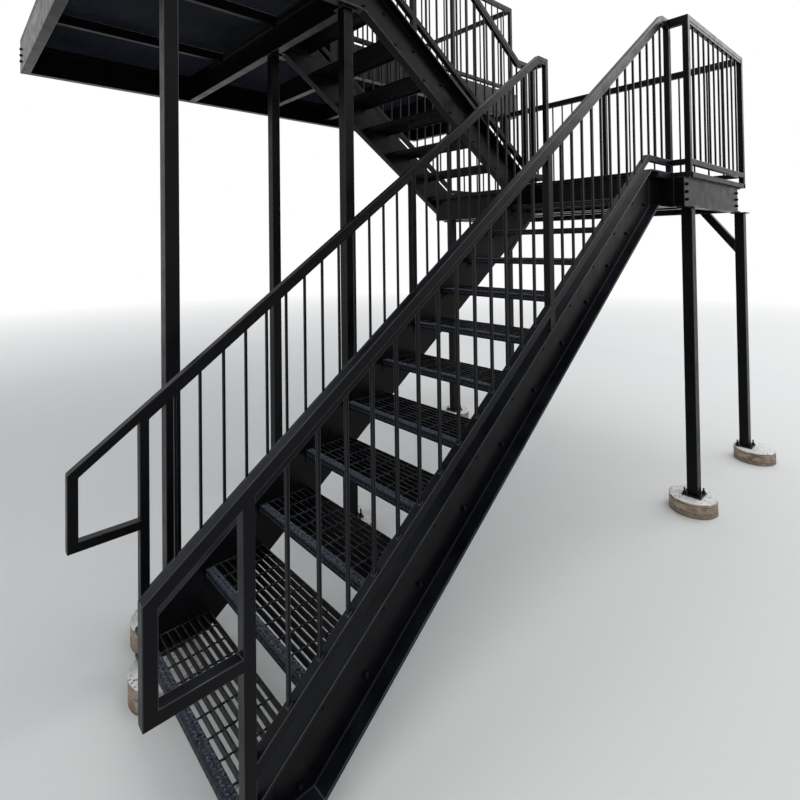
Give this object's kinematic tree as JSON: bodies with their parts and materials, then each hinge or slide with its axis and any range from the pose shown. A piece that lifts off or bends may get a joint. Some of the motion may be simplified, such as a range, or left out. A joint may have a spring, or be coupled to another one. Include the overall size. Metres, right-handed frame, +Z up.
{
  "type": "fire escape stair",
  "caption": "Steel fire escape stair with a straight flight to a landing, a return flight, a corner platform and a wall gallery, on square posts and round piers.",
  "frame": {"origin": "on the ground under the middle of the stair's outline", "axes": "+X up the lower flight, +Y towards the building wall, +Z up"},
  "size_m": [4.847, 4.3618, 4.68],
  "materials": {
    "black_paint": "satin",
    "grating_paint": "satin",
    "pier_concrete": "matt"
  },
  "bodies": {
    "root": {"base_plates": "black_paint", "cap_plates": "black_paint", "concrete_piers": "pier_concrete", "gallery_deck": "grating_paint", "gallery_end_beam": "black_paint", "gallery_front_beam": "black_paint", "gallery_guard_end": "black_paint", "gallery_guard_front": "black_paint", "gallery_joists": "black_paint", "knee_braces": "black_paint", "landing_cross_channel": "black_paint", "landing_deck": "grating_paint", "landing_end_channel": "black_paint", "landing_far_channel": "black_paint", "landing_guard_end": "black_paint", "landing_guard_far": "black_paint", "landing_guard_near": "black_paint", "landing_guard_return": "black_paint", "landing_header": "black_paint", "landing_near_channel": "black_paint", "landing_posts": "black_paint", "landing_riser_channel": "black_paint", "landing_side_stubs": "black_paint", "landing_stair_channel": "black_paint", "lower_guard_far": "black_paint", "lower_guard_near": "black_paint", "lower_stringer_far": "black_paint", "lower_stringer_near": "black_paint", "lower_treads": "grating_paint", "platform_bearers": "black_paint", "platform_deck": "grating_paint", "platform_end_beam": "black_paint", "platform_front_beam": "black_paint", "platform_guard_front": "black_paint", "platform_guard_side": "black_paint", "platform_posts": "black_paint", "platform_side_beam": "black_paint", "tall_post": "black_paint", "upper_guard_far": "black_paint", "upper_guard_near": "black_paint", "upper_stringer_far": "black_paint", "upper_stringer_near": "black_paint", "upper_treads": "grating_paint", "wall_ledger": "black_paint"}
  },
  "joints": []
}
